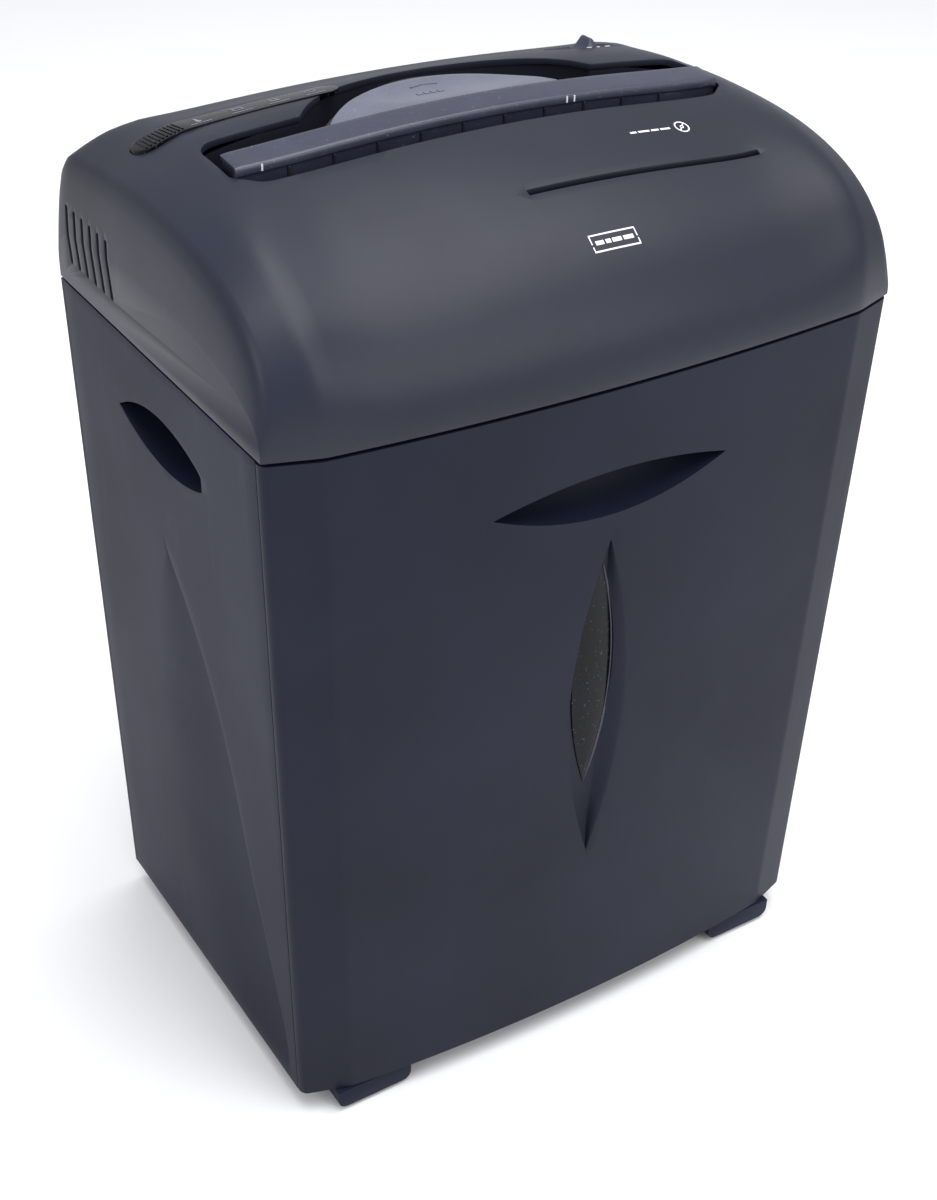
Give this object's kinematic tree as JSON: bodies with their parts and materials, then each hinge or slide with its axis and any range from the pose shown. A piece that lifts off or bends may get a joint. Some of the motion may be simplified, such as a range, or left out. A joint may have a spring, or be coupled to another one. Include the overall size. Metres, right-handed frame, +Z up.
{
  "type": "paper shredder",
  "caption": "Pull-out-bin cross-cut paper shredder with a hinged throat flap, disc slot, mode slider, curved head and drawer bin with a window.",
  "frame": {"origin": "on the floor, under the middle of the machine's box", "axes": "+Z up, -Y is the front that the bin pulls out of, +X to the right seen from the front"},
  "size_m": [0.328, 0.219, 0.4696],
  "materials": {
    "shell_head": "satin moulded navy-black",
    "shell_cabinet": "fine satin navy-black",
    "shell_bin": "fine satin navy-black",
    "smoked_lens": "polished black",
    "smoked_tab": "polished smoky grey",
    "flap_plastic": "semi-gloss",
    "inner_plastic": "moulded",
    "grey_plastic": "moulded light grey",
    "black_plastic": "moulded",
    "ivory_plastic": "nylon",
    "lamp": "clear",
    "steel": "rolled",
    "cutter_steel": "hardened, oiled",
    "bronze": "sintered",
    "copper": "wound",
    "board": "coated",
    "rubber": "soft",
    "zinc": "zinc plated"
  },
  "bodies": {
    "machine": {"head_cover": "shell_head", "control_lens": "smoked_lens", "indicator_board": "board", "indicator_lamps": "lamp", "mode_switch": "black_plastic", "throat_front_guide": "inner_plastic", "throat_rear_guide": "inner_plastic", "finger_well": "inner_plastic", "sensor_pin": "steel", "disc_chute": "inner_plastic", "head_tray": "inner_plastic", "cutter_plate_left": "zinc", "cutter_plate_right": "zinc", "cutter_tie_rods": "steel", "cutter_bearings": "bronze", "stripper_front": "black_plastic", "stripper_rear": "black_plastic", "intermediate_axle": "steel", "gear_plate": "zinc", "motor_can": "steel", "motor_bracket": "zinc", "thermal_cutout": "ivory_plastic", "main_board": "board", "board_parts": "black_plastic", "power_gland": "black_plastic", "bin_switch": "black_plastic", "head_screws": "zinc", "side_panel_left": "shell_cabinet", "side_panel_right": "shell_cabinet", "back_panel": "shell_cabinet", "base_panel": "shell_cabinet", "bin_runners": "inner_plastic", "front_feet": "black_plastic", "rear_feet": "black_plastic", "foot_pads": "rubber", "cabinet_screws": "zinc"},
    "flap": {"throat_flap": "flap_plastic", "flap_tab": "smoked_tab", "flap_pins": "steel"},
    "knob": {"mode_knob": "flap_plastic"},
    "sensor": {"sensor_lever": "grey_plastic"},
    "rear_cutter": {"cutter_shaft_rear": "cutter_steel", "cutter_discs_rear": "cutter_steel", "timing_gear_rear": "cutter_steel", "drive_gear": "cutter_steel"},
    "front_cutter": {"cutter_shaft_front": "cutter_steel", "cutter_discs_front": "cutter_steel", "timing_gear_front": "cutter_steel"},
    "intermediate": {"intermediate_gear": "ivory_plastic"},
    "rotor": {"motor_armature": "copper", "motor_pinion": "bronze", "motor_fan": "black_plastic"},
    "bin": {"bin_front": "shell_bin", "bin_window": "smoked_lens", "bin_bucket": "inner_plastic", "bin_magnet": "zinc", "bin_screws": "zinc"}
  },
  "joints": [
    {"name": "bin_slide", "type": "slide", "parent": "machine", "child": "bin", "axis": [0, -1, 0], "range_m": [0, 0.18]},
    {"name": "flap_swing", "type": "hinge", "parent": "machine", "child": "flap", "pos_m": [0, 0.009, 0.447], "axis": [-1, 0, 0], "range_deg": [0, 20], "stiffness_Nm_per_rad": 0.06, "springref_deg": -20.05},
    {"name": "mode_slide", "type": "slide", "parent": "machine", "child": "knob", "axis": [1, 0, 0], "range_m": [-0.006, 0.006]},
    {"name": "sensor_swing", "type": "hinge", "parent": "machine", "child": "sensor", "pos_m": [0.105, -0.026, 0.4445], "axis": [-1, 0, 0], "range_deg": [0, 12], "stiffness_Nm_per_rad": 0.004, "springref_deg": -22.92},
    {"name": "rear_cutter_spin", "type": "hinge", "parent": "machine", "child": "rear_cutter", "pos_m": [0, 0.012, 0.402], "axis": [1, 0, 0], "continuous": true},
    {"name": "front_cutter_spin", "type": "hinge", "parent": "machine", "child": "front_cutter", "pos_m": [0, -0.026, 0.402], "axis": [1, 0, 0], "continuous": true},
    {"name": "intermediate_spin", "type": "hinge", "parent": "machine", "child": "intermediate", "pos_m": [0, 0.04371, 0.41354], "axis": [1, 0, 0], "continuous": true},
    {"name": "rotor_spin", "type": "hinge", "parent": "machine", "child": "rotor", "pos_m": [0, 0.07367, 0.40381], "axis": [1, 0, 0], "continuous": true}
  ],
  "couplings": [
    {"joint": "front_cutter_spin", "follows": "rear_cutter_spin", "ratio": -1},
    {"joint": "intermediate_spin", "follows": "rear_cutter_spin", "ratio": -2.8571},
    {"joint": "rotor_spin", "follows": "rear_cutter_spin", "ratio": 11.429}
  ]
}
